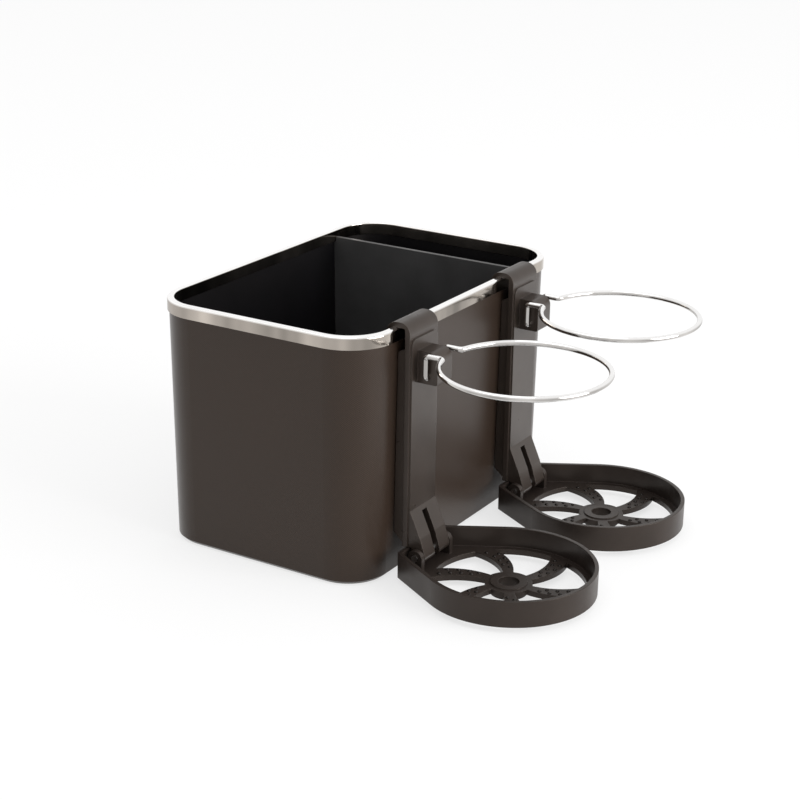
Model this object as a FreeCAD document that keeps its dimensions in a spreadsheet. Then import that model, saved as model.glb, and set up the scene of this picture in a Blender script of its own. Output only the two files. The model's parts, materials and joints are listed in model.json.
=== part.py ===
import FreeCAD, Part
import math
import os
import Sketcher
from FreeCAD import Vector

# Storage tub that stands beside an armrest, with two cup holders hung on its right-hand rim.
# Millimetres. Origin at the middle of the tub's underside, +Z up, +X to the cup holders,
# -Y to the short face that is seen first.

DOC = FreeCAD.newDocument("armrest_box")
SHEET = DOC.addObject("Spreadsheet::Sheet", "Sizes")

SIZES = {
    # Tub
    "tub_height": 113.4,
    "tub_top_width": 113.4,
    "tub_top_length": 173.4,
    "tub_draft": 1.6,
    "tub_corner": 21.2,
    "tub_wall": 1.8,
    "tub_floor": 2.6,
    "tub_foot_chamfer": 1.6,
    # Bright trim that is pressed over the tub's top edge
    "trim_cover": 0.8,
    "trim_inner_lip": 0.7,
    "trim_top": 1.6,
    "trim_skirt": 4.15,
    "trim_fit": 0.1,
    "trim_outer_round": 1.4,
    "trim_inner_chamfer": 0.5,
    # Drop-in divider
    "divider_place": 59.0,
    "divider_thickness": 2.0,
    "divider_drop": 1.9,
    "divider_groove": 1.0,
    "divider_fit": 0.2,
    # Hanger brackets
    "bracket_spacing": 91.0,
    "bracket_shift": -4.0,
    "bracket_width": 23.0,
    "bracket_wall": 2.4,
    "bracket_standoff": 3.3,
    "hook_round": 5.0,
    "hook_inner_round": 0.8,
    "hook_reach": 10.5,
    "hook_tip_round": 0.8,
    "hook_clear": 0.4,
    "plate_bottom": 14.5,
    "flange_wall": 2.0,
    "flange_inset": 1.0,
    "flange_drop": 11.0,
    "flange_bottom": 20.0,
    "flange_clear": 0.3,
    "flange_round": 1.5,
    "pad_raise": 0.8,
    "pad_drop": 4.8,
    "pad_margin": 0.9,
    "pad_corner": 3.0,
    # Pivot block of the ring
    "block_width": 12.0,
    "block_depth": 9.8,
    "block_under": 3.0,
    "block_over": 11.4,
    "block_round": 4.0,
    "block_edge": 1.0,
    # Kicked-out foot of the bracket, split into two hinge legs
    "foot_top": 31.5,
    "foot_knee": 19.5,
    "foot_kick": 5.4,
    "leg_slot": 4.0,
    "leg_slot_top": 29.3,
    # Wire ring
    "wire_size": 2.5,
    "wire_sides": 8,
    "ring_size": 74.4,
    "ring_reach": 43.5,
    "ring_rise": 10.3,
    "ring_pivot_drop": 21.8,
    "ring_pivot_out": 5.0,
    "ring_tail": 7.9,
    "ring_tail_depth": 5.6,
    "wire_bend": 1.7,
    "wire_kink": 2.0,
    "wire_fit": 0.05,
    # Tray
    "hinge_height": 11.2,
    "hinge_out": 4.5,
    "tray_bottom": 2.5,
    "tray_height": 11.7,
    "tray_wall": 1.8,
    "tray_floor": 2.5,
    "tray_radius": 38.7,
    "tray_reach": 39.9,
    "tray_back": 6.3,
    "tray_back_width": 36.0,
    "tray_back_round": 2.0,
    "ear_wall": 2.5,
    "ear_radius": 3.6,
    "ear_clear": 0.35,
    "hub_radius": 8.2,
    "hub_hole": 4.6,
    "hub_rise": 0.5,
    "hub_drop": 2.2,
    "web_inner": 10.5,
    "web_outer": 34.0,
    "spoke_count": 6,
    "spoke_inner": 4.6,
    "spoke_outer": 9.5,
    "spoke_sweep": 17.0,
    "spoke_bow": 2.6,
    # Hinge pin
    "pin_size": 3.0,
    "pin_fit": 0.05,
    "ear_fit": 0.02,
    "pin_proud": 0.6,
}

for row, (alias, value) in enumerate(SIZES.items(), start=1):
    SHEET.set(f"A{row}", alias)
    SHEET.set(f"B{row}", str(value))
    SHEET.setAlias(f"B{row}", alias)
DOC.recompute()


def size(alias):
    """Read one driving dimension from the sheet."""
    return float(SHEET.get(alias))


def bind(obj, prop, formula):
    """Tie a property to the sheet; a formula names its cells as Sizes.alias."""
    obj.setExpression(prop, formula)


def new_body(label):
    """Start a sub-part whose label names its file."""
    body = DOC.addObject("PartDesign::Body", label)
    body.Label = label
    return body


def new_sketch(body, name, role):
    """Attach a sketch to one of the body's own origin planes."""
    sketch = body.newObject("Sketcher::SketchObject", name)
    plane = next(p for p in body.Origin.OriginFeatures if p.Role == role)
    sketch.AttachmentSupport = [(plane, "")]
    sketch.MapMode = "FlatFace"
    return sketch


def lift(sketch, formula):
    """Offset a sketch along its own normal."""
    bind(sketch, ".AttachmentOffset.Base.z", formula)


def draw(sketch, edges):
    """Put a closed chain of lines, arcs and circles into a sketch."""
    first = sketch.GeometryCount
    sketch.addGeometry(edges, False)
    count = len(edges)
    if count == 1:
        return
    joints = []
    for k in range(count):
        a = first + k
        b = first + (k + 1) % count
        end = nearest_end(edges[k], edges[(k + 1) % count])
        joints.append(Sketcher.Constraint("Coincident", a, end[0], b, end[1]))
    sketch.addConstraint(joints)


def nearest_end(one, two):
    """Sketch ends (1 start, 2 end) at which two edges meet."""
    ends = [(1, one.StartPoint), (2, one.EndPoint)]
    others = [(1, two.StartPoint), (2, two.EndPoint)]
    pairs = [(p.distanceToPoint(q), i, j) for i, p in ends for j, q in others]
    best = min(pairs)
    return best[1], best[2]


def line(a, b):
    """Straight edge of a sketch."""
    return Part.LineSegment(flat(a), flat(b))


def flat(point):
    """Point of a sketch as a vector."""
    return Vector(point[0], point[1], 0)


def arc(a, middle, b):
    """Arc through three points of a sketch, stored anticlockwise as sketches keep it."""
    start, through, end = flat(a), flat(middle), flat(b)
    if (through - start).cross(end - through).z < 0:
        start, end = end, start
    return Part.ArcOfCircle(start, through, end)


def circle(centre, radius):
    """Full circle of a sketch."""
    return Part.Circle(flat(centre), Vector(0, 0, 1), radius)


def rounded_chain(corners):
    """Closed outline through (x, y, radius) corners, each corner an arc of its radius."""
    edges = []
    count = len(corners)
    joins = []
    for k, (x, y, radius) in enumerate(corners):
        here = Vector(x, y, 0)
        back = Vector(*corners[k - 1][:2], 0) - here
        ahead = Vector(*corners[(k + 1) % count][:2], 0) - here
        back.normalize()
        ahead.normalize()
        half = back.getAngle(ahead) / 2
        run = radius / math.tan(half) if radius else 0.0
        bisector = back + ahead
        start = here + back * run
        end = here + ahead * run
        middle = here
        if radius:
            bisector.normalize()
            middle = here + bisector * (radius / math.sin(half) - radius)
        joins.append((start, middle, end, radius))
    for k, (start, middle, end, radius) in enumerate(joins):
        if radius:
            edges.append(arc(start, middle, end))
        following = joins[(k + 1) % count][0]
        if end.distanceToPoint(following) > 1e-6:
            edges.append(line(end, following))
    return edges


def rectangle(left, low, right, high):
    """Plain rectangle of a sketch."""
    return rounded_chain([(left, low, 0.0), (right, low, 0.0), (right, high, 0.0), (left, high, 0.0)])


def rounded_rectangle(width, length, corner):
    """Plan outline of the tub and its trim, centred on the origin."""
    x = width / 2
    y = length / 2
    return rounded_chain([(x, y, corner), (-x, y, corner), (-x, -y, corner), (x, -y, corner)])


def pad(body, sketch, formula, name, both_ways=False, reverse=False):
    """Pad a sketch by a length from the sheet."""
    feature = body.newObject("PartDesign::Pad", name)
    feature.Profile = sketch
    feature.SideType = "Symmetric" if both_ways else "One side"
    feature.Reversed = reverse
    bind(feature, "Length", formula)
    DOC.recompute()
    return feature


def pocket(body, sketch, formula, name, both_ways=False, reverse=False):
    """Pocket a sketch by a length from the sheet and make sure that it cuts."""
    before = body.Shape.Volume
    feature = body.newObject("PartDesign::Pocket", name)
    feature.Profile = sketch
    feature.SideType = "Symmetric" if both_ways else "One side"
    feature.Reversed = reverse
    bind(feature, "Length", formula)
    DOC.recompute()
    if body.Shape.Volume > before - 1e-6:
        raise RuntimeError(f"{name} cuts nothing")
    return feature


def edges_where(shape, test):
    """Names of the edges whose middle point passes a test."""
    names = []
    for k, edge in enumerate(shape.Edges, start=1):
        middle = edge.valueAt((edge.FirstParameter + edge.LastParameter) / 2)
        if test(middle):
            names.append(f"Edge{k}")
    return names


def fillet(body, base, formula, name, test):
    """Round the edges of a feature that pass a test."""
    feature = body.newObject("PartDesign::Fillet", name)
    feature.Base = (base, edges_where(base.Shape, test))
    bind(feature, "Radius", formula)
    DOC.recompute()
    return feature


def chamfer(body, base, formula, name, test):
    """Bevel the edges of a feature that pass a test."""
    feature = body.newObject("PartDesign::Chamfer", name)
    feature.Base = (base, edges_where(base.Shape, test))
    bind(feature, "Size", formula)
    DOC.recompute()
    return feature


# Places worked out from the driving dimensions
TRIM_WIDTH = size("tub_top_width") + 2 * size("trim_cover")
TRIM_LENGTH = size("tub_top_length") + 2 * size("trim_cover")
RIM_FACE = TRIM_WIDTH / 2
RIM_TOP = size("tub_height") + size("trim_top")
TRIM_RING = size("trim_cover") + size("tub_wall") + size("trim_inner_lip")
PLATE_FRONT = RIM_FACE + size("bracket_standoff") + size("bracket_wall")
PAD_FRONT = PLATE_FRONT + size("pad_raise")
HINGE_X = PAD_FRONT + size("hinge_out")
HINGE_Z = size("hinge_height")
RING_PIVOT_X = PAD_FRONT + size("ring_pivot_out")
RING_PIVOT_Z = RIM_TOP - size("ring_pivot_drop")
TRAY_CENTRE = HINGE_X + size("tray_reach")
# Each holder stands half the spacing to one side of the brackets' middle
HOLDERS = {"near": "-", "far": "+"}
# How far a cutting sketch runs past the solid
OVERRUN = 1.0


def tub_lean(height):
    """How far the tub's drafted sides have drawn in at a height, measured from its top edge."""
    return size("tub_draft") * (1 - height / size("tub_height"))


def tub_half_width(height):
    """Half width of the tub's outer side at a height."""
    return size("tub_top_width") / 2 - tub_lean(height)


def make_tub():
    """Drafted open tub: a tapered pad of a rounded rectangle, hollowed by a tapered pocket."""
    body = new_body("storage_tub")
    wall = size("tub_wall")
    floor = size("tub_floor")
    corner = size("tub_corner")
    top = size("tub_height")
    lean = "atan(Sizes.tub_draft / Sizes.tub_height)"

    plan = new_sketch(body, "TopOutline", "XY_Plane")
    lift(plan, "Sizes.tub_height")
    draw(plan, rounded_rectangle(size("tub_top_width"), size("tub_top_length"), corner))
    outside = pad(body, plan, "Sizes.tub_height", "Outside", reverse=True)
    bind(outside, "TaperAngle", "-" + lean)
    DOC.recompute()
    chamfer(body, outside, "Sizes.tub_foot_chamfer", "FootChamfer", lambda p: abs(p.z) < 1e-6)

    mouth = new_sketch(body, "MouthOutline", "XY_Plane")
    lift(mouth, "Sizes.tub_height")
    draw(mouth, rounded_rectangle(size("tub_top_width") - 2 * wall, size("tub_top_length") - 2 * wall,
                                  corner - wall))
    inside = pocket(body, mouth, "Sizes.tub_height - Sizes.tub_floor", "Inside")
    bind(inside, "TaperAngle", "-" + lean)
    DOC.recompute()

    groove = new_sketch(body, "DividerGroove", "XZ_Plane")
    lift(groove, "-(Sizes.divider_place)")
    draw(groove, groove_outline(floor, top))
    pocket(body, groove, "Sizes.divider_thickness + 2 * Sizes.divider_fit", "Grooves", both_ways=True)
    return body


def groove_half_width(height, gap):
    """Half width between the bottoms of the divider's grooves, less a gap."""
    return tub_half_width(height) - size("tub_wall") + size("divider_groove") - gap


def groove_outline(low, high):
    """Trapezium that follows the tub's inner sides and is let into them."""
    foot = groove_half_width(low, 0.0)
    top = groove_half_width(high, 0.0)
    return rounded_chain([(-foot, low, 0.0), (foot, low, 0.0), (top, high, 0.0), (-top, high, 0.0)])


def divider_outline(gap, low, high):
    """The groove's trapezium less a gap, stepped in at the top to pass between the trim's lips."""
    shoulder = size("tub_height") - size("trim_skirt") - gap
    neck = RIM_FACE - TRIM_RING - gap
    foot = groove_half_width(low, gap)
    wide = groove_half_width(shoulder, gap)
    return rounded_chain([
        (-foot, low, 0.0), (foot, low, 0.0), (wide, shoulder, 0.0), (neck, shoulder, 0.0),
        (neck, high, 0.0), (-neck, high, 0.0), (-neck, shoulder, 0.0), (-wide, shoulder, 0.0),
    ])


def make_trim():
    """Bright trim: a rounded rectangular ring with a groove below that takes the tub's edge."""
    body = new_body("rim_trim")
    cover = size("trim_cover")
    fit = size("trim_fit")
    wall = size("tub_wall")
    corner = size("tub_corner") + cover
    ring = new_sketch(body, "TrimRing", "XY_Plane")
    lift(ring, "Sizes.tub_height - Sizes.trim_skirt")
    draw(ring, rounded_rectangle(TRIM_WIDTH, TRIM_LENGTH, corner))
    draw(ring, rounded_rectangle(TRIM_WIDTH - 2 * TRIM_RING, TRIM_LENGTH - 2 * TRIM_RING,
                                 corner - TRIM_RING))
    solid = pad(body, ring, "Sizes.trim_skirt + Sizes.trim_top", "TrimPad")
    half_inner = RIM_FACE - TRIM_RING

    def outside(p):
        return abs(p.x) > RIM_FACE - 1e-6 or abs(p.y) > TRIM_LENGTH / 2 - 1e-6 or on_corner(p, corner)

    def on_corner(p, radius):
        cx = RIM_FACE - corner
        cy = TRIM_LENGTH / 2 - corner
        return math.isclose(math.hypot(abs(p.x) - cx, abs(p.y) - cy), radius, abs_tol=1e-4)

    outer = fillet(body, solid, "Sizes.trim_outer_round", "OuterRound",
                   lambda p: abs(p.z - RIM_TOP) < 1e-6 and outside(p))
    chamfer(body, outer, "Sizes.trim_inner_chamfer", "InnerChamfer",
            lambda p: abs(p.z - RIM_TOP) < 1e-6 and inner_edge(p, half_inner))
    groove = new_sketch(body, "TrimGroove", "XY_Plane")
    lift(groove, "Sizes.tub_height")
    top_width = size("tub_top_width")
    top_length = size("tub_top_length")
    edge_corner = size("tub_corner")
    draw(groove, rounded_rectangle(top_width + 2 * fit, top_length + 2 * fit, edge_corner + fit))
    inset = wall + tub_lean(size("tub_height") - size("trim_skirt")) + fit
    draw(groove, rounded_rectangle(top_width - 2 * inset, top_length - 2 * inset,
                                   edge_corner - inset))
    pocket(body, groove, "Sizes.trim_skirt + Sizes.trim_fit", "TrimGroovePocket")
    return body


def inner_edge(p, half_inner):
    """True on the inner edge of the trim's top face."""
    inner_corner = size("tub_corner") + size("trim_cover") - TRIM_RING
    half_length = TRIM_LENGTH / 2 - TRIM_RING
    cx = half_inner - inner_corner
    cy = half_length - inner_corner
    straight = math.isclose(abs(p.x), half_inner, abs_tol=1e-4)
    straight = straight or math.isclose(abs(p.y), half_length, abs_tol=1e-4)
    reach = math.hypot(abs(p.x) - cx, abs(p.y) - cy)
    return straight or math.isclose(reach, inner_corner, abs_tol=1e-4)


def make_divider():
    """Drop-in plate that parts a narrow rear compartment from the main one."""
    body = new_body("divider")
    gap = size("divider_fit")
    low = size("tub_floor") + gap
    high = size("tub_height") - size("divider_drop")
    sketch = new_sketch(body, "DividerPlate", "XZ_Plane")
    lift(sketch, "-(Sizes.divider_place)")
    draw(sketch, divider_outline(gap, low, high))
    pad(body, sketch, "Sizes.divider_thickness", "DividerPad", both_ways=True)
    return body


def place_on_rim(body, side):
    """Slide a finished sub-part along the rim to its own holder."""
    bind(body, ".Placement.Base.y", f"Sizes.bracket_shift {side} Sizes.bracket_spacing / 2")


def make_bracket(name, side):
    """Moulded hanger: a hook over the rim, a flanged plate, the ring's block and two hinge legs."""
    body = new_body(f"{name}_bracket")
    wall = size("bracket_wall")
    bend = size("hook_round")
    inner_bend = size("hook_inner_round")
    inner_face = RIM_FACE - TRIM_RING - size("hook_clear")
    hook_back = inner_face - wall
    hook_top = RIM_TOP + wall
    hook_tip = RIM_TOP - size("hook_reach")
    tip = size("hook_tip_round")
    low = size("plate_bottom")
    plate_back = PLATE_FRONT - wall

    strip = new_sketch(body, "HookAndPlate", "XZ_Plane")
    draw(strip, rounded_chain([
        (hook_back, hook_tip, tip),
        (hook_back, hook_top, bend),
        (PLATE_FRONT, hook_top, bend),
        (PLATE_FRONT, low, 0.0),
        (plate_back, low, 0.0),
        (plate_back, RIM_TOP, inner_bend),
        (inner_face, RIM_TOP, inner_bend),
        (inner_face, hook_tip, tip),
    ]))
    pad(body, strip, "Sizes.bracket_width", "HookAndPlatePad", both_ways=True)

    high_flange = RIM_TOP - size("flange_drop")
    low_flange = size("flange_bottom")
    clear = size("flange_clear")
    turn = size("flange_round")
    flanges = new_sketch(body, "Flanges", "XZ_Plane")
    draw(flanges, rounded_chain([
        (plate_back + wall / 2, high_flange + wall, 0.0),
        (tub_half_width(high_flange) + clear, high_flange, turn),
        (tub_half_width(low_flange) + clear, low_flange, turn),
        (plate_back + wall / 2, low, 0.0),
    ]))
    pad(body, flanges, "Sizes.bracket_width - 2 * Sizes.flange_inset", "FlangePad", both_ways=True)
    hollow = new_sketch(body, "FlangeHollow", "XZ_Plane")
    draw(hollow, rectangle(tub_half_width(low) - OVERRUN, low - OVERRUN, plate_back, high_flange + 2 * wall))
    pocket(body, hollow, "Sizes.bracket_width - 2 * Sizes.flange_inset - 2 * Sizes.flange_wall",
           "FlangeHollowPocket", both_ways=True)

    panel = new_sketch(body, "RaisedPad", "YZ_Plane")
    lift(panel, "Sizes.tub_top_width / 2 + Sizes.trim_cover + Sizes.bracket_standoff")
    half = size("bracket_width") / 2 - size("pad_margin")
    corner = size("pad_corner")
    pad_top = RIM_TOP - size("pad_drop")
    draw(panel, rounded_chain([
        (-half, low, 0.0), (half, low, 0.0),
        (half, pad_top, corner), (-half, pad_top, corner),
    ]))
    pad(body, panel, "Sizes.bracket_wall + Sizes.pad_raise", "RaisedPadPad")

    block = new_sketch(body, "RingBlock", "XZ_Plane")
    block_front = PAD_FRONT + size("block_depth")
    block_bottom = RING_PIVOT_Z - size("block_under")
    block_top = RING_PIVOT_Z + size("block_over")
    draw(block, rounded_chain([
        (PLATE_FRONT, block_bottom, 0.0),
        (block_front, block_bottom, size("block_edge")),
        (block_front, block_top, size("block_round")),
        (PLATE_FRONT, block_top, 0.0),
    ]))
    pad(body, block, "Sizes.block_width", "RingBlockPad", both_ways=True)

    foot = new_sketch(body, "HingeFoot", "XZ_Plane")
    knuckle = size("ear_radius")
    knee = PAD_FRONT + size("foot_kick")
    draw(foot, foot_outline(knee, knuckle))
    pad(body, foot, "Sizes.bracket_width - 2 * Sizes.pad_margin", "HingeFootPad", both_ways=True)
    slot = new_sketch(body, "LegSlot", "XZ_Plane")
    draw(slot, rectangle(plate_back - OVERRUN, HINGE_Z - knuckle - OVERRUN,
                         HINGE_X + knuckle + OVERRUN, size("leg_slot_top")))
    pocket(body, slot, "Sizes.leg_slot", "LegSlotPocket", both_ways=True)

    bores = new_sketch(body, "PinBore", "XZ_Plane")
    draw(bores, [circle((HINGE_X, HINGE_Z), size("pin_size") / 2 + size("pin_fit"))])
    pocket(body, bores, "Sizes.bracket_width * 2", "PinBorePocket", both_ways=True)
    eye = new_sketch(body, "RingBore", "XZ_Plane")
    draw(eye, [circle((RING_PIVOT_X, RING_PIVOT_Z), size("wire_size") / 2 + size("wire_fit"))])
    pocket(body, eye, "Sizes.block_width * 2", "RingBorePocket", both_ways=True)
    place_on_rim(body, side)
    return body


def foot_outline(knee, knuckle):
    """Side view of the foot: it leans out from the pad, drops, and ends in a round knuckle."""
    back = PLATE_FRONT - size("bracket_wall") / 2
    low = size("plate_bottom")
    front = HINGE_X + knuckle
    return [
        line((back, size("foot_top")), (PAD_FRONT, size("foot_top"))),
        line((PAD_FRONT, size("foot_top")), (knee, size("foot_knee"))),
        line((knee, size("foot_knee")), (front, HINGE_Z)),
        arc((front, HINGE_Z), (HINGE_X, HINGE_Z - knuckle), (HINGE_X - knuckle, HINGE_Z)),
        line((HINGE_X - knuckle, HINGE_Z), (HINGE_X - knuckle, low)),
        line((HINGE_X - knuckle, low), (back, low)),
        line((back, low), (back, size("foot_top"))),
    ]


def ring_route():
    """Middle line of the wire: two cranked tails joined to a round loop by small kinks."""
    bend = size("wire_bend")
    kink = size("wire_kink")
    tail = size("ring_tail")
    loop = (size("ring_size") - size("wire_size")) / 2
    rise = size("ring_rise")
    reach = size("ring_reach")
    depth = size("ring_tail_depth")
    kink_x = reach - math.sqrt((loop + kink) ** 2 - (tail + kink) ** 2)
    towards = Vector(kink_x - reach, -(tail + kink), 0).normalize()
    meet = Vector(reach, 0, rise) + towards * loop
    kink_centre = Vector(kink_x, -(tail + kink), rise)
    outward = Vector(0, 1, 0) - towards
    kink_middle = kink_centre + outward.normalize() * kink
    turn = bend * (1 - math.sqrt(0.5))

    def half(sign):
        def flip(v):
            return Vector(v.x, v.y * sign, v.z)
        points = {
            "inside": Vector(0, -tail + depth, 0),
            "in_end": Vector(0, -tail + bend, 0),
            "in_mid": Vector(0, -tail + turn, turn),
            "up_start": Vector(0, -tail, bend),
            "up_end": Vector(0, -tail, rise - bend),
            "out_mid": Vector(turn, -tail, rise - turn),
            "out_start": Vector(bend, -tail, rise),
            "out_end": Vector(kink_x, -tail, rise),
            "kink_mid": kink_middle,
            "meet": meet,
        }
        return {key: flip(value) for key, value in points.items()}

    def tail_edges(p):
        return [
            Part.LineSegment(p["inside"], p["in_end"]),
            Part.Arc(p["in_end"], p["in_mid"], p["up_start"]),
            Part.LineSegment(p["up_start"], p["up_end"]),
            Part.Arc(p["up_end"], p["out_mid"], p["out_start"]),
            Part.LineSegment(p["out_start"], p["out_end"]),
            Part.Arc(p["out_end"], p["kink_mid"], p["meet"]),
        ]

    near = half(1)
    far = half(-1)
    loop_arc = Part.Arc(near["meet"], Vector(reach + loop, 0, rise), far["meet"])
    edges = tail_edges(near) + [loop_arc] + list(reversed(tail_edges(far)))
    return Part.Wire(Part.__sortEdges__([edge.toShape() for edge in edges]))


def make_ring(name, side):
    """Bent wire ring: its route leaves one plane for another, so it is piped as a plain shape.

    The section is a regular polygon in the wire's round, which keeps the long bends light.
    """
    ring = DOC.addObject("Part::Feature", f"{name}_ring")
    ring.Label = f"{name}_ring"
    route = ring_route()
    start = route.OrderedVertexes[0].Point
    radius = size("wire_size") / 2
    step = 2 * math.pi / size("wire_sides")
    turns = [step * (k + 0.5) for k in range(round(size("wire_sides")))]
    corners = [start + Vector(radius * math.cos(a), 0, radius * math.sin(a)) for a in turns]
    section = Part.makePolygon(corners + corners[:1])
    ring.Shape = route.makePipe(Part.Face(section))
    front = "Sizes.tub_top_width / 2 + Sizes.trim_cover + Sizes.bracket_standoff"
    front += " + Sizes.bracket_wall + Sizes.pad_raise + Sizes.ring_pivot_out"
    bind(ring, ".Placement.Base.x", front)
    place_on_rim(ring, side)
    bind(ring, ".Placement.Base.z", "Sizes.tub_height + Sizes.trim_top - Sizes.ring_pivot_drop")
    return ring


def tray_outline(inset):
    """Plan of the tray: a round front, flat flanks tangent to it and a short straight back."""
    radius = size("tray_radius") - inset
    back = HINGE_X - size("tray_back") + inset
    # The flank line is the outer one moved in by the inset, so both outlines stay parallel.
    outer_back = HINGE_X - size("tray_back")
    outer_half = size("tray_back_width") / 2
    gap = math.hypot(TRAY_CENTRE - outer_back, outer_half)
    lean = math.atan2(outer_half, TRAY_CENTRE - outer_back)
    turn = math.asin(size("tray_radius") / gap) - lean
    touch = Vector(TRAY_CENTRE - radius * math.sin(turn), radius * math.cos(turn), 0)
    run = (touch.x - back) / math.cos(turn)
    corner = Vector(back, touch.y - run * math.sin(turn), 0)
    round_off = size("tray_back_round")
    between = (math.pi / 2 + turn) / 2
    cut = round_off / math.tan(between)
    along = Vector(math.cos(turn), math.sin(turn), 0)
    flank_start = corner + along * cut
    back_end = corner - Vector(0, cut, 0)
    pull = along - Vector(0, 1, 0)
    pull.normalize()
    spread = round_off / math.sin(between) - round_off
    corner_mid = corner + pull * spread

    def low(v):
        return Vector(v.x, -v.y, 0)

    return [
        line(low(back_end), back_end),
        arc(back_end, corner_mid, flank_start),
        line(flank_start, touch),
        arc(touch, (TRAY_CENTRE + radius, 0), low(touch)),
        line(low(touch), low(flank_start)),
        arc(low(flank_start), low(corner_mid), low(back_end)),
    ]


def web_window(place):
    """Opening of the tray's floor: two swept spoke edges between an inner and an outer arc."""
    inner = size("web_inner")
    outer = size("web_outer")
    step = 2 * math.pi / size("spoke_count")
    sweep = math.radians(size("spoke_sweep"))
    bow = size("spoke_bow")
    in_half = size("spoke_inner") / (2 * inner)
    out_half = size("spoke_outer") / (2 * outer)

    def polar(radius, angle):
        turned = angle + place * step
        return Vector(TRAY_CENTRE + radius * math.cos(turned), radius * math.sin(turned), 0)

    def bowed(a, b):
        chord = b - a
        side = Vector(-chord.y, chord.x, 0).normalize()
        return (a + b) * 0.5 - side * bow

    a = polar(inner, in_half)
    b = polar(outer, sweep + out_half)
    c = polar(outer, sweep + step - out_half)
    d = polar(inner, step - in_half)
    return [
        arc(a, bowed(a, b), b),
        arc(b, polar(outer, sweep + step / 2), c),
        arc(c, bowed(d, c), d),
        arc(d, polar(inner, step / 2), a),
    ]


def make_tray(name, side):
    """Cup tray: a walled round floor of swept spokes with two ears that carry its hinge pin."""
    body = new_body(f"{name}_tray")
    plan = new_sketch(body, "TrayPlan", "XY_Plane")
    lift(plan, "Sizes.tray_bottom")
    draw(plan, tray_outline(0.0))
    pad(body, plan, "Sizes.tray_height", "TrayPad")
    hollow = new_sketch(body, "TrayHollow", "XY_Plane")
    lift(hollow, "Sizes.tray_bottom + Sizes.tray_height")
    draw(hollow, tray_outline(size("tray_wall")))
    pocket(body, hollow, "Sizes.tray_height - Sizes.tray_floor", "TrayHollowPocket")

    ear = size("ear_radius")
    rest = size("tray_bottom") + size("tray_floor") / 2
    width = "Sizes.bracket_width - 2 * Sizes.pad_margin + 2 * Sizes.ear_clear"
    ears = new_sketch(body, "HingeEars", "XZ_Plane")
    draw(ears, [
        line((HINGE_X - ear, rest), (HINGE_X + ear, rest)),
        line((HINGE_X + ear, rest), (HINGE_X + ear, HINGE_Z)),
        arc((HINGE_X + ear, HINGE_Z), (HINGE_X, HINGE_Z + ear), (HINGE_X - ear, HINGE_Z)),
        line((HINGE_X - ear, HINGE_Z), (HINGE_X - ear, rest)),
    ])
    pad(body, ears, width + " + 2 * Sizes.ear_wall", "HingeEarPad", both_ways=True)
    gap = new_sketch(body, "EarGap", "XZ_Plane")
    floor_top = size("tray_bottom") + size("tray_floor")
    draw(gap, rectangle(HINGE_X - ear, floor_top, HINGE_X + ear, HINGE_Z + ear + OVERRUN))
    pocket(body, gap, width, "EarGapPocket", both_ways=True)

    hub = new_sketch(body, "Hub", "XY_Plane")
    lift(hub, "Sizes.tray_bottom - Sizes.hub_drop")
    draw(hub, [circle((TRAY_CENTRE, 0), size("hub_radius"))])
    pad(body, hub, "Sizes.tray_floor + Sizes.hub_rise + Sizes.hub_drop", "HubPad")
    eye = new_sketch(body, "HubHole", "XY_Plane")
    lift(eye, "Sizes.tray_bottom + Sizes.tray_height")
    draw(eye, [circle((TRAY_CENTRE, 0), size("hub_hole"))])
    pocket(body, eye, "Sizes.tray_height + Sizes.hub_drop", "HubHolePocket")

    webs = new_sketch(body, "FloorWindows", "XY_Plane")
    lift(webs, "Sizes.tray_bottom + Sizes.tray_height")
    for place in range(round(size("spoke_count"))):
        draw(webs, web_window(place))
    pocket(body, webs, "Sizes.tray_height", "FloorWindowPocket")

    bore = new_sketch(body, "EarBore", "XZ_Plane")
    draw(bore, [circle((HINGE_X, HINGE_Z), size("pin_size") / 2 + size("ear_fit"))])
    pocket(body, bore, width + " + 4 * Sizes.ear_wall", "EarBorePocket", both_ways=True)
    place_on_rim(body, side)
    return body


def make_pin(name, side):
    """Steel hinge pin held in the tray's ears, on which the bracket's legs turn."""
    body = new_body(f"{name}_hinge_pin")
    sketch = new_sketch(body, "PinSection", "XZ_Plane")
    draw(sketch, [circle((HINGE_X, HINGE_Z), size("pin_size") / 2)])
    sketch.addConstraint(Sketcher.Constraint("Diameter", 0, size("pin_size")))
    bind(sketch, "Constraints[0]", "Sizes.pin_size")
    length = "Sizes.bracket_width - 2 * Sizes.pad_margin + 2 * Sizes.ear_clear"
    length += " + 2 * Sizes.ear_wall + 2 * Sizes.pin_proud"
    pad(body, sketch, length, "PinPad", both_ways=True)
    place_on_rim(body, side)
    return body


parts = [make_tub(), make_trim(), make_divider()]
for holder, side in HOLDERS.items():
    parts.append(make_bracket(holder, side))
    parts.append(make_ring(holder, side))
    parts.append(make_tray(holder, side))
    parts.append(make_pin(holder, side))
DOC.recompute()

for obj in DOC.Objects:
    if "Invalid" in obj.State or "Error" in obj.State:
        raise RuntimeError(f"{obj.Name} failed: {obj.State}")
for item in parts:
    shape = item.Shape
    if shape.isNull() or not shape.isValid() or not shape.Solids:
        raise RuntimeError(f"{item.Label} is not a valid solid")

os.makedirs("parts", exist_ok=True)
for item in parts:
    item.Shape.exportStep(os.path.join("parts", item.Label + ".step"))
    box = item.Shape.BoundBox
    print(item.Label, len(item.Shape.Solids), round(item.Shape.Volume, 1),
          [round(v, 2) for v in (box.XMin, box.YMin, box.ZMin, box.XMax, box.YMax, box.ZMax)])
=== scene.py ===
import json
import math

import bpy
import numpy as np
from mathutils import Matrix, Vector


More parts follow.
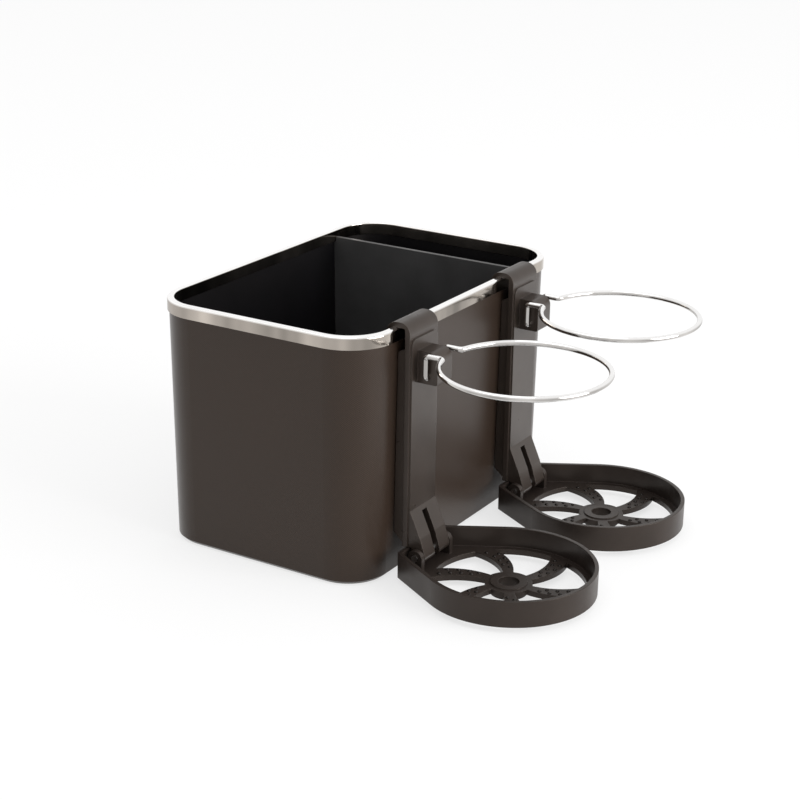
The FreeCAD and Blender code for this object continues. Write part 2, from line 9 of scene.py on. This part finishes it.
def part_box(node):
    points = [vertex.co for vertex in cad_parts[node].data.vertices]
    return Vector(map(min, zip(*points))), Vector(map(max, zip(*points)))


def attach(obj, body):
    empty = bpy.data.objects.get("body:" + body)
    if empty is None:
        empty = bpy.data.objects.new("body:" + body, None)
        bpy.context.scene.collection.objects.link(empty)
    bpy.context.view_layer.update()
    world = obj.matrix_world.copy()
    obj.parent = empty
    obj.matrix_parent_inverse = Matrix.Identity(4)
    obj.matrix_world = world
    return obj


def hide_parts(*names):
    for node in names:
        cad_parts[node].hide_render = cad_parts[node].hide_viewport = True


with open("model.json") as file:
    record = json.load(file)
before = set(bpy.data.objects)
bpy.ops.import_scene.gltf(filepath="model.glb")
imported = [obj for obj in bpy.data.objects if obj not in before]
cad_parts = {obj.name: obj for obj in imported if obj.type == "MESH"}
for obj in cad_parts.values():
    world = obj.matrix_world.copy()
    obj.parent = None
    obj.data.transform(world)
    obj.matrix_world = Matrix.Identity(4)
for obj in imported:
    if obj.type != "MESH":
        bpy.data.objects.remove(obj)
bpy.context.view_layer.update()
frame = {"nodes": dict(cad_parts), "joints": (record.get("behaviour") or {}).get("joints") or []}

# Metres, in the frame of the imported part: +X to the cup holders, -Y to the short face in front, +Z up.
MM = 0.001
HOLDERS = ("near", "far")

# Bright bead on the tub's edge
BEAD_WIDTH = 3.3 * MM
BEAD_OUTER_ROUND = 1.4 * MM
BEAD_INNER_ROUND = 0.5 * MM
BEAD_GROOVE_OUTER = 0.7 * MM
BEAD_GROOVE_INNER = 2.76 * MM
BEAD_GROOVE_TOP = 1.5 * MM
BEAD_CORNER = 22.0 * MM
BEAD_CORNER_STEPS = 28

# Bent wire of the rings
WIRE_RADIUS = 1.25 * MM
WIRE_SIDES = 8
RING_TAIL = 7.9 * MM
RING_TAIL_DEPTH = 5.6 * MM
WIRE_BEND = 1.7 * MM
WIRE_KINK = 2.0 * MM
LOOP_STEPS = 122

# Rows of grip dots on the trays' spokes
TRAY_REACH = 39.9 * MM
SPOKES = 6
SPOKE_SWEEP = math.radians(17)
SPOKE_BOW = math.radians(3.5)
SPOKE_INNER = 10.5 * MM
SPOKE_OUTER = 34.0 * MM
SPOKE_WIDTH_INNER = 4.6 * MM
SPOKE_WIDTH_OUTER = 9.5 * MM
DOT_START = 15.5 * MM
DOT_STEP = 2.25 * MM
DOTS_PER_SPOKE = 8
DOT_ASIDE = 0.22
DOT_SIZE = 0.9 * MM
DOT_HEIGHT = 0.6 * MM
DOT_ROWS = 5
DOT_SIDES = 14
FLOOR_TOP = 5.0 * MM

# Slightly warm gloss of the moulded plastics
WARM_GLOSS = (1.0, 0.88, 0.80, 1.0)

# Thin moulded skin that shines at a slant
SKIN_IOR = 1.2
SKIN_ROUGHNESS = 0.32

# White floor: how far it reaches, how far it lies below the part, and its share of plain white backdrop
FLOOR_HALF = 6.0
FLOOR_DROP = 0.2 * MM
FLOOR_WHITE = 0.70

# Light of the surroundings: at the horizon, overhead, and its gain towards the right and the back
SKY_LOW = 0.68
SKY_HIGH = 0.88
SKY_RIGHT = 0.40
SKY_BACK = 0.30

# Viewpoint of the photograph
CAMERA_PLACE = Vector((0.44972, -0.69513, 0.35433))
CAMERA_AZIMUTH = math.radians(31.66)
CAMERA_ELEVATION = math.radians(20.03)
CAMERA_ROLL = math.radians(0.76)
CAMERA_LENS = 83.18
SENSOR = 36.0


def new_material(name):
    """Material with an empty node tree; returns it with its tree and its output node."""
    made = bpy.data.materials.new(name)
    made.use_nodes = True
    made.node_tree.nodes.clear()
    output = made.node_tree.nodes.new("ShaderNodeOutputMaterial")
    return made, made.node_tree, output


def add(tree, kind, links=None, **settings):
    """One node: settings are node properties, links name its inputs' sources or values."""
    node = tree.nodes.new(kind)
    for key, value in settings.items():
        setattr(node, key, value)
    for socket, source in (links or {}).items():
        if isinstance(source, bpy.types.NodeSocket):
            tree.links.new(source, node.inputs[socket])
        else:
            node.inputs[socket].default_value = source
    return node


def maths(tree, operation, a, b=0.0):
    """Result of one arithmetic step."""
    return add(tree, "ShaderNodeMath", {0: a, 1: b}, operation=operation).outputs[0]


def object_axes(tree):
    """Object coordinates as a vector and as three numbers."""
    place = add(tree, "ShaderNodeTexCoord").outputs["Object"]
    axes = add(tree, "ShaderNodeSeparateXYZ", {"Vector": place})
    return place, axes.outputs["X"], axes.outputs["Y"], axes.outputs["Z"]


def mottle(tree, place, scale, low, high, detail=3.0):
    """Smooth noise mapped to run from low to high."""
    noise = add(tree, "ShaderNodeTexNoise", {"Vector": place, "Scale": scale, "Detail": detail})
    spread = add(tree, "ShaderNodeMapRange", {
        "Value": noise.outputs[0], "From Min": 0.3, "From Max": 0.7, "To Min": low, "To Max": high})
    return spread.outputs[0]


def shade(tree, colour, factor):
    """A colour multiplied by a number."""
    return add(tree, "ShaderNodeVectorMath", {0: colour, "Scale": factor}, operation="SCALE").outputs[0]


def blend_colours(tree, factor, a, b):
    """Colour a where factor is 0 and b where it is 1."""
    mixed = add(tree, "ShaderNodeMix", {"Factor": factor, 6: a, 7: b}, data_type="RGBA")
    return mixed.outputs[2]


def edge_light(tree, radius):
    """1 along convex edges and 0 on flat faces, from how far a rounded normal leaves the true one."""
    rounded = add(tree, "ShaderNodeBevel", {"Radius": radius}, samples=6).outputs[0]
    true = add(tree, "ShaderNodeNewGeometry").outputs["Normal"]
    close = add(tree, "ShaderNodeVectorMath", {0: rounded, 1: true}, operation="DOT_PRODUCT").outputs["Value"]
    worn = add(tree, "ShaderNodeMapRange", {
        "Value": close, "From Min": 0.98, "From Max": 0.75, "To Min": 0.0, "To Max": 1.0})
    return rounded, worn.outputs[0]


def satin_plastic(name, colour, roughness, edge=0.5 * MM, grain=2600.0, bump=0.08, edge_gain=0.35, skin=0.0):
    """Moulded satin plastic: fine grain, cloudy sheen, paler edges, and a skin on its upright faces."""
    made, tree, output = new_material(name)
    place, _, _, _ = object_axes(tree)
    normal = add(tree, "ShaderNodeNewGeometry").outputs["Normal"]
    rise = maths(tree, "ABSOLUTE", add(tree, "ShaderNodeSeparateXYZ", {"Vector": normal}).outputs["Z"])
    glaze = maths(tree, "MULTIPLY", maths(tree, "SUBTRACT", 1.0, rise), skin)
    rounded, worn = edge_light(tree, edge)
    tint = shade(tree, (*colour,), mottle(tree, place, 55.0, 0.86, 1.14))
    pale = shade(tree, tint, 1.0 + edge_gain * 2)
    hue = blend_colours(tree, maths(tree, "MULTIPLY", worn, 0.6), tint, pale)
    sheen = mottle(tree, place, 120.0, roughness - 0.05, roughness + 0.05)
    sheen = maths(tree, "SUBTRACT", sheen, maths(tree, "MULTIPLY", worn, 0.10))
    speckle = add(tree, "ShaderNodeTexNoise", {"Vector": place, "Scale": grain, "Detail": 2.0}).outputs[0]
    relief = add(tree, "ShaderNodeBump", {
        "Strength": bump, "Distance": 0.15 * MM, "Height": speckle, "Normal": rounded}).outputs[0]
    body = add(tree, "ShaderNodeBsdfPrincipled", {
        "Base Color": hue, "Roughness": sheen, "Normal": relief, "IOR": 1.45,
        "Specular IOR Level": 0.34, "Specular Tint": WARM_GLOSS,
        "Coat Weight": glaze, "Coat Roughness": SKIN_ROUGHNESS, "Coat IOR": SKIN_IOR})
    tree.links.new(body.outputs[0], output.inputs[0])
    return made


def woven_tub(name, outside, shaded_inside, pitch=0.95 * MM):
    """Tub plastic: a fine moulded weave on the outer sides and black satin within, its extra darkness painted
    shade.

    A side faces outward where its normal points away from the tub's upright axis. The weave is the
    product of a sine along the wall and a sine up it, each one pitch long.
    """
    made, tree, output = new_material(name)
    place, x, y, z = object_axes(tree)
    normal = add(tree, "ShaderNodeNewGeometry").outputs["Normal"]
    way = add(tree, "ShaderNodeSeparateXYZ", {"Vector": normal})
    nx, ny = way.outputs["X"], way.outputs["Y"]
    away = maths(tree, "ADD", maths(tree, "MULTIPLY", nx, x), maths(tree, "MULTIPLY", ny, y))
    outer = maths(tree, "GREATER_THAN", away, 0.002)
    side = maths(tree, "GREATER_THAN", maths(tree, "ABSOLUTE", nx), maths(tree, "ABSOLUTE", ny))
    across = maths(tree, "MULTIPLY", x, maths(tree, "SUBTRACT", 1.0, side))
    along = maths(tree, "ADD", across, maths(tree, "MULTIPLY", y, side))
    turn = 2 * math.pi / pitch
    wave_along = maths(tree, "SINE", maths(tree, "MULTIPLY", along, turn))
    wave_up = maths(tree, "SINE", maths(tree, "MULTIPLY", z, turn))
    weave = maths(tree, "MULTIPLY", wave_along, wave_up)
    cloud = mottle(tree, place, 22.0, 0.95, 1.05)
    threads = maths(tree, "ADD", 1.0, maths(tree, "MULTIPLY", weave, 0.40))
    skin = shade(tree, (*outside,), maths(tree, "MULTIPLY", cloud, threads))
    # Painted shade: the inner walls take a far darker colour than the outside, partly the tub's black plastic
    # and partly the shade within the tub.
    painted_shade_hollow = shade(tree, (*shaded_inside,), mottle(tree, place, 40.0, 0.85, 1.15))
    hue = blend_colours(tree, outer, painted_shade_hollow, skin)
    sheen = maths(tree, "ADD", mottle(tree, place, 90.0, 0.43, 0.47), maths(tree, "MULTIPLY", weave, 0.05))
    height = maths(tree, "MULTIPLY", weave, outer)
    rounded = add(tree, "ShaderNodeBevel", {"Radius": 0.8 * MM}, samples=6).outputs[0]
    relief = add(tree, "ShaderNodeBump", {
        "Strength": 0.35, "Distance": 0.06 * MM, "Height": height, "Normal": rounded}).outputs[0]
    body = add(tree, "ShaderNodeBsdfPrincipled", {
        "Base Color": hue, "Roughness": sheen, "Normal": relief, "IOR": 1.45,
        "Specular IOR Level": 0.30, "Specular Tint": WARM_GLOSS,
        "Coat Weight": outer, "Coat Roughness": SKIN_ROUGHNESS, "Coat IOR": SKIN_IOR})
    tree.links.new(body.outputs[0], output.inputs[0])
    return made


def bright_metal(name, colour, roughness, painted_reflection_bands=0.0, painted_reflection_tint=None):
    """Polished plating: a near mirror with faint haze; upright faces get a painted reflection, a warm tint in
    soft, darker bands.
    """
    made, tree, output = new_material(name)
    place, x, y, _ = object_axes(tree)
    bright = mottle(tree, place, 70.0, 0.95, 1.02)
    hue = (*colour,)
    # Painted reflection: upright faces take a warm tint and noisy darker bands in their colour, standing in
    # for reflected surroundings.
    if painted_reflection_bands:
        normal = add(tree, "ShaderNodeNewGeometry").outputs["Normal"]
        rise = maths(tree, "ABSOLUTE", add(tree, "ShaderNodeSeparateXYZ", {"Vector": normal}).outputs["Z"])
        upright = add(tree, "ShaderNodeMapRange", {
            "Value": rise, "From Min": 0.7, "From Max": 0.2, "To Min": 0.0, "To Max": 1.0}).outputs[0]
        line = add(tree, "ShaderNodeCombineXYZ", {"X": x, "Y": y}).outputs[0]
        reflection_band = mottle(tree, line, 48.0, 0.35, 1.0, detail=2.0)
        reflection_darkening = maths(tree, "MULTIPLY", maths(tree, "MULTIPLY", upright, reflection_band), painted_reflection_bands)
        bright = maths(tree, "MULTIPLY", bright, maths(tree, "SUBTRACT", 1.0, reflection_darkening))
        hue = blend_colours(tree, upright, (*colour, 1.0), (*painted_reflection_tint, 1.0))
    tint = shade(tree, hue, bright)
    haze = mottle(tree, place, 160.0, roughness * 0.7, roughness * 1.4)
    ripple = add(tree, "ShaderNodeTexNoise", {"Vector": place, "Scale": 240.0, "Detail": 2.0}).outputs[0]
    relief = add(tree, "ShaderNodeBump", {
        "Strength": 0.03, "Distance": 0.1 * MM, "Height": ripple}).outputs[0]
    body = add(tree, "ShaderNodeBsdfPrincipled", {
        "Base Color": tint, "Metallic": 1.0, "Roughness": haze, "Normal": relief})
    tree.links.new(body.outputs[0], output.inputs[0])
    return made


def grid_mesh(name, points, closed_u, closed_v, material, sharp=math.radians(35)):
    """Surface through a grid of points (u, v, 3); a closed direction joins its last row to its first.

    A tube, closed in v alone, gets a flat face on each end.
    """
    rows, columns = points.shape[:2]
    u = np.arange(rows if closed_u else rows - 1)
    v = np.arange(columns if closed_v else columns - 1)
    a, b = np.meshgrid(u, v, indexing="ij")
    next_a = (a + 1) % rows
    next_b = (b + 1) % columns
    quads = np.stack([a * columns + b, next_a * columns + b,
                      next_a * columns + next_b, a * columns + next_b], axis=-1)
    faces = quads.reshape(-1, 4).tolist()
    if closed_v and not closed_u:
        end = np.arange(columns)
        faces += [end.tolist(), (end[::-1] + (rows - 1) * columns).tolist()]
    return solid_mesh(name, points.reshape(-1, 3), faces, material, sharp)


def solid_mesh(name, points, faces, material, sharp):
    """Object at the origin from points and faces, smooth except over sharp edges."""
    mesh = bpy.data.meshes.new(name)
    mesh.from_pydata(points, [], faces)
    mesh.validate()
    mesh.polygons.foreach_set("use_smooth", np.ones(len(mesh.polygons), dtype=bool))
    mesh.set_sharp_from_angle(angle=sharp)
    mesh.materials.append(material)
    made = bpy.data.objects.new(name, mesh)
    bpy.context.scene.collection.objects.link(made)
    return made


def quarter(centre, start, end, steps=10):
    """Arc about a centre: the radius swings evenly from the start vector to the end vector."""
    start, end = np.array(start, float), np.array(end, float)
    reach = np.linalg.norm(start)
    angle = math.acos(np.clip(start @ end / (reach * np.linalg.norm(end)), -1, 1))
    t = np.linspace(0, 1, steps)[:, None]
    swung = (np.sin((1 - t) * angle) * start + np.sin(t * angle) * end) / math.sin(angle)
    return np.array(centre, float) + swung


def bead_profile(top, low):
    """Closed section of the bead as (inset, height): rounded crown, and a groove for the tub's edge below."""
    outer = quarter((BEAD_OUTER_ROUND, top - BEAD_OUTER_ROUND), (-BEAD_OUTER_ROUND, 0), (0, BEAD_OUTER_ROUND))
    inner_x = BEAD_WIDTH - BEAD_INNER_ROUND
    inner = quarter((inner_x, top - BEAD_INNER_ROUND), (0, BEAD_INNER_ROUND), (BEAD_INNER_ROUND, 0), 6)
    groove_top = top - BEAD_GROOVE_TOP
    foot = np.array([(BEAD_WIDTH, low), (BEAD_GROOVE_INNER, low), (BEAD_GROOVE_INNER, groove_top),
                     (BEAD_GROOVE_OUTER, groove_top), (BEAD_GROOVE_OUTER, low), (0.0, low)])
    return np.vstack([outer, inner, foot])


def make_bead(material):
    """Bead: its section carried round a rounded rectangle, corner centre + (radius - inset) * heading."""
    low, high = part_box("rim_trim")
    profile = bead_profile(high.z, low.z)
    swing = np.linspace(0, math.pi / 2, BEAD_CORNER_STEPS)
    heading = (np.arange(4)[:, None] * math.pi / 2 + swing[None, :]).ravel()
    corner = np.repeat(np.arange(4), BEAD_CORNER_STEPS)
    centre_x = (high.x - BEAD_CORNER) * np.array([1, -1, -1, 1])[corner]
    centre_y = (high.y - BEAD_CORNER) * np.array([1, 1, -1, -1])[corner]
    reach = BEAD_CORNER - profile[:, 0]
    x = centre_x[:, None] + reach[None, :] * np.cos(heading)[:, None]
    y = centre_y[:, None] + reach[None, :] * np.sin(heading)[:, None]
    z = np.broadcast_to(profile[:, 1], x.shape)
    bead = grid_mesh("rim_bead", np.stack([x, y, z], axis=-1), True, True, material)
    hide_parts("rim_trim")
    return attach(bead, "box")


def wire_route(pivot, low, high):
    """Middle line of a ring's wire: two cranked tails, small kinks and a round loop, mirrored."""
    flat = WIRE_RADIUS * math.cos(math.pi / WIRE_SIDES)
    loop = (high.y - low.y) / 2 - flat
    reach = high.x - flat - loop - pivot[0]
    rise = high.z - flat - pivot[2]
    kink_x = reach - math.sqrt((loop + WIRE_KINK) ** 2 - (RING_TAIL + WIRE_KINK) ** 2)
    towards = np.array([kink_x - reach, -(RING_TAIL + WIRE_KINK), 0.0]) / (loop + WIRE_KINK)
    bend = WIRE_BEND
    tail = np.vstack([
        [(0, RING_TAIL_DEPTH - RING_TAIL, 0)],
        quarter((0, bend - RING_TAIL, bend), (0, 0, -bend), (0, -bend, 0)),
        quarter((bend, -RING_TAIL, rise - bend), (-bend, 0, 0), (0, 0, bend)),
        quarter((kink_x, -(RING_TAIL + WIRE_KINK), rise), (0, WIRE_KINK, 0), -towards * WIRE_KINK),
    ])
    start = math.atan2(towards[1], towards[0])
    angle = np.linspace(start, -start, LOOP_STEPS)[1:-1]
    circle = np.stack(
        [reach + loop * np.cos(angle), loop * np.sin(angle), np.full_like(angle, rise)], axis=-1)
    mirrored = tail[::-1] * np.array([1, -1, 1])
    return np.vstack([tail, circle, mirrored]) + np.array(pivot)


def make_wire(name, material, sides=20):
    """Round wire: a circle square to the route at each point, on two directions square to its heading."""
    joint = next(j for j in frame["joints"] if j["name"] == f"{name}_ring_fold")
    low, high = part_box(f"{name}_ring")
    route = wire_route(joint["pos_m"], low, high)
    heading = np.gradient(route, axis=0)
    heading /= np.linalg.norm(heading, axis=1, keepdims=True)
    across = np.cross(heading, np.array([0.5, 0.0, 1.0]))
    across /= np.linalg.norm(across, axis=1, keepdims=True)
    over = np.cross(across, heading)
    angle = np.linspace(0, 2 * math.pi, sides, endpoint=False)
    ring = np.cos(angle)[None, :, None] * across[:, None, :] + np.sin(angle)[None, :, None] * over[:, None, :]
    wire = grid_mesh(f"{name}_wire_ring", route[:, None, :] + WIRE_RADIUS * ring, False, True, material,
                     math.radians(80))
    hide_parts(f"{name}_ring")
    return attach(wire, f"{name}_ring")


def make_dots(name, material):
    """Grip dots: low domes along the spokes, by turns on either side of their middle line.

    A spoke's middle line sweeps on with radius and bows back between its ends. A dot lies aside from it by
    a share of the spoke's width there, and it rises with the sine of its slope.
    """
    joint = next(j for j in frame["joints"] if j["name"] == f"{name}_tray_fold")
    centre_x = joint["pos_m"][0] + TRAY_REACH
    centre_y = joint["pos_m"][1]
    count = np.arange(DOTS_PER_SPOKE)
    out = DOT_START + DOT_STEP * count
    share = (out - SPOKE_INNER) / (SPOKE_OUTER - SPOKE_INNER)
    width = SPOKE_WIDTH_INNER + (SPOKE_WIDTH_OUTER - SPOKE_WIDTH_INNER) * share
    aside = DOT_ASIDE * width * np.where(count % 2, 1, -1)
    lean = SPOKE_SWEEP * share - SPOKE_BOW * np.sin(math.pi * share) + aside / out
    angle = (np.arange(SPOKES)[:, None] * 2 * math.pi / SPOKES + lean[None, :]).ravel()
    radius = np.tile(out, SPOKES)
    middle = np.stack([centre_x + radius * np.cos(angle), centre_y + radius * np.sin(angle)], axis=-1)
    rows, sides = DOT_ROWS, DOT_SIDES
    tilt = np.linspace(0, math.pi / 2 * 0.97, rows)
    turn = np.linspace(0, 2 * math.pi, sides, endpoint=False)
    ring_x = DOT_SIZE * np.cos(tilt)[:, None] * np.cos(turn)[None, :]
    ring_y = DOT_SIZE * np.cos(tilt)[:, None] * np.sin(turn)[None, :]
    ring_z = np.broadcast_to(FLOOR_TOP + DOT_HEIGHT * np.sin(tilt)[:, None], ring_x.shape)
    dome = np.stack([ring_x, ring_y, ring_z], axis=-1)
    shift = np.concatenate([middle, np.zeros((len(middle), 1))], axis=1)
    points = (dome[None] + shift[:, None, None, :]).reshape(-1, 3)
    a, b = np.meshgrid(np.arange(rows - 1), np.arange(sides), indexing="ij")
    quad = np.stack([a * sides + b, a * sides + (b + 1) % sides,
                     (a + 1) * sides + (b + 1) % sides, (a + 1) * sides + b], axis=-1).reshape(-1, 4)
    start = np.arange(len(middle)) * rows * sides
    faces = (quad[None] + start[:, None, None]).reshape(-1, 4).tolist()
    faces += (start[:, None] + (rows - 1) * sides + np.arange(sides)[None, :]).tolist()
    faces += (start[:, None] + np.arange(sides)[None, ::-1]).tolist()
    dots = solid_mesh(f"{name}_grip_dots", points, faces, material, math.radians(60))
    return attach(dots, f"{name}_tray")


def dress(node, material):
    """Give a CAD node its material in every slot."""
    mesh = frame["nodes"][node].data
    if not mesh.materials:
        mesh.materials.append(material)
    for k in range(len(mesh.materials)):
        mesh.materials[k] = material


def seen_by_eye(tree):
    """1 for what the camera sees straight or in a gloss, 0 for light that reaches matt surfaces."""
    path = add(tree, "ShaderNodeLightPath")
    mirrored = maths(tree, "MAXIMUM", path.outputs["Is Glossy Ray"], path.outputs["Is Transmission Ray"])
    return maths(tree, "MAXIMUM", path.outputs["Is Camera Ray"], mirrored)


def make_floor():
    """White floor under the object, wide enough to pass for a backdrop; its shadows show only in part."""
    made, tree, output = new_material("studio_floor")
    place, _, _, _ = object_axes(tree)
    tint = shade(tree, (0.97, 0.97, 0.97), mottle(tree, place, 1.5, 0.995, 1.0))
    body = add(tree, "ShaderNodeBsdfPrincipled", {"Base Color": tint, "Roughness": 0.9}).outputs[0]
    white = add(tree, "ShaderNodeEmission", {"Color": (1, 1, 1, 1), "Strength": 1.0}).outputs[0]
    share = maths(tree, "MULTIPLY", seen_by_eye(tree), FLOOR_WHITE)
    mixed = add(tree, "ShaderNodeMixShader", {0: share, 1: body, 2: white}).outputs[0]
    tree.links.new(mixed, output.inputs[0])
    corners = np.array([(-1, -1, 0), (1, -1, 0), (1, 1, 0), (-1, 1, 0)]) * FLOOR_HALF
    floor = solid_mesh("floor", corners - np.array([0, 0, FLOOR_DROP]), [(0, 1, 2, 3)], made, 0.5)


def area_light(name, place, target, size, power):
    """Soft square lamp that looks at a point."""
    data = bpy.data.lights.new(name, "AREA")
    data.shape = "SQUARE"
    data.size = size
    data.energy = power
    lamp = bpy.data.objects.new(name, data)
    lamp.location = place
    lamp.rotation_euler = (Vector(target) - Vector(place)).to_track_quat("-Z", "Y").to_euler()
    bpy.context.scene.collection.objects.link(lamp)


def make_world():
    """White surroundings for the camera; their light grows overhead and towards the right and the back."""
    world = bpy.data.worlds.new("studio")
    bpy.context.scene.world = world
    world.use_nodes = True
    tree = world.node_tree
    tree.nodes.clear()
    output = tree.nodes.new("ShaderNodeOutputWorld")
    place = add(tree, "ShaderNodeTexCoord").outputs["Generated"]
    axes = add(tree, "ShaderNodeSeparateXYZ", {"Vector": place})
    level = add(tree, "ShaderNodeMapRange", {
        "Value": axes.outputs["Z"], "From Min": 0.0, "From Max": 0.7,
        "To Min": SKY_LOW, "To Max": SKY_HIGH}).outputs[0]
    lean = maths(tree, "ADD", maths(tree, "MULTIPLY", axes.outputs["X"], SKY_RIGHT),
                 maths(tree, "MULTIPLY", axes.outputs["Y"], SKY_BACK))
    level = maths(tree, "MULTIPLY", level, maths(tree, "ADD", 1.0, lean))
    strength = maths(tree, "MAXIMUM", maths(tree, "MINIMUM", level, 1.0), seen_by_eye(tree))
    sky = add(tree, "ShaderNodeBackground", {"Color": (1, 1, 1, 1), "Strength": strength})
    tree.links.new(sky.outputs[0], output.inputs[0])


def make_camera():
    """Camera at the photograph's viewpoint, turned by azimuth, elevation and a slight roll."""
    sa, ca = math.sin(CAMERA_AZIMUTH), math.cos(CAMERA_AZIMUTH)
    se, ce = math.sin(CAMERA_ELEVATION), math.cos(CAMERA_ELEVATION)
    level = Vector((ca, sa, 0))
    upright = Vector((-sa * se, ca * se, ce))
    right = level * math.cos(CAMERA_ROLL) + upright * math.sin(CAMERA_ROLL)
    up = upright * math.cos(CAMERA_ROLL) - level * math.sin(CAMERA_ROLL)
    data = bpy.data.cameras.new("photo_view")
    data.lens = CAMERA_LENS
    data.sensor_width = SENSOR
    data.clip_end = 50.0
    camera = bpy.data.objects.new("photo_view", data)
    turned = Matrix((right, up, right.cross(up))).transposed().to_4x4()
    camera.matrix_world = Matrix.Translation(CAMERA_PLACE) @ turned
    bpy.context.scene.collection.objects.link(camera)
    bpy.context.scene.camera = camera


# Both platings carry painted reflection on upright faces: darker bands and a warm tint.
chrome = bright_metal("bright_chrome", (0.90, 0.89, 0.88), 0.08, painted_reflection_bands=0.6, painted_reflection_tint=(0.80, 0.77, 0.74))
bead_chrome = bright_metal(
    "bead_chrome", (0.97, 0.96, 0.95), 0.10, painted_reflection_bands=0.75, painted_reflection_tint=(0.81, 0.73, 0.65))
steel = bright_metal("pin_steel", (0.62, 0.61, 0.60), 0.28)
# The tub's second colour, near black, is partly painted shade inside the tub.
tub_skin = woven_tub("woven_tub", (0.023, 0.0138, 0.0090), (0.003, 0.003, 0.004))
divider_skin = satin_plastic("divider_plastic", (0.056, 0.056, 0.057), 0.42)
bracket_skin = satin_plastic("bracket_plastic", (0.028, 0.021, 0.017), 0.32, skin=1.0)
tray_skin = satin_plastic("tray_plastic", (0.026, 0.020, 0.017), 0.34)
# Near-black grip dots: painted shade, standing for the shade inside dimples on the spokes.
dot_painted_shade = satin_plastic("grip_dot_painted_shade", (0.006, 0.005, 0.005), 0.18, edge=0.2 * MM)

dress("storage_tub", tub_skin)
dress("divider", divider_skin)
dress("rim_trim", bead_chrome)
make_bead(bead_chrome)
for holder in HOLDERS:
    dress(f"{holder}_bracket", bracket_skin)
    dress(f"{holder}_tray", tray_skin)
    dress(f"{holder}_hinge_pin", steel)
    dress(f"{holder}_ring", chrome)
    make_wire(holder, chrome)
    make_dots(holder, dot_painted_shade)

make_floor()
make_world()
make_camera()
area_light("top", place=(-0.3, -0.2, 2.2), target=(0, 0, 0.05), size=1.4, power=7.0)
area_light("side", place=(1.80, 0.1, 0.50), target=(0, 0, 0.06), size=1.2, power=30.0)
bpy.context.scene.view_settings.view_transform = "Standard"
